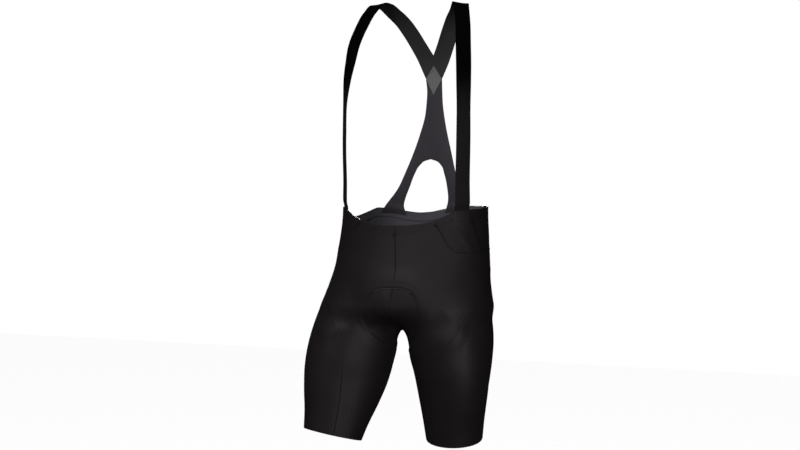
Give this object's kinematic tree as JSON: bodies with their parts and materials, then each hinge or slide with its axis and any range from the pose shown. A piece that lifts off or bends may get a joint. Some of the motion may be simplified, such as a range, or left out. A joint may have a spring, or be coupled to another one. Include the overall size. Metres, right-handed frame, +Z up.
{
  "type": "long bib shorts",
  "caption": "Tight dark knit shorts with long legs, flat straps that cross at a diamond patch behind, an A-shaped back yoke and a seat pad, in their worn shape",
  "frame": {"origin": "midway between the places where the two straps lie on the shoulders, level with the top of the straps", "axes": "+X towards the wearer's left, -Y towards the front that the wearer faces, +Z up along the standing trunk; the legs hang towards -Z"},
  "size_m": [0.3764, 0.2367, 0.8819],
  "materials": {
    "body_knit": "dark warm grey stretch knit with a soft low sheen",
    "waist_knit": "the same stretch knit in a slightly lighter grey",
    "yoke_knit": "thin purplish grey knit, matt",
    "strap_cloth": "flat near-black stretch band, matt, lighter on its inner face",
    "patch_cloth": "mid grey woven cloth, matt",
    "pad_foam": "cloth-faced foam, matt"
  },
  "bodies": {
    "root": {"front_left": "body_knit", "front_right": "body_knit", "back_left": "body_knit", "back_right": "body_knit", "waist_back": "waist_knit", "yoke": "yoke_knit", "strap_left": "strap_cloth", "strap_right": "strap_cloth", "cross_patch": "patch_cloth", "seat_pad": "pad_foam"}
  },
  "joints": []
}
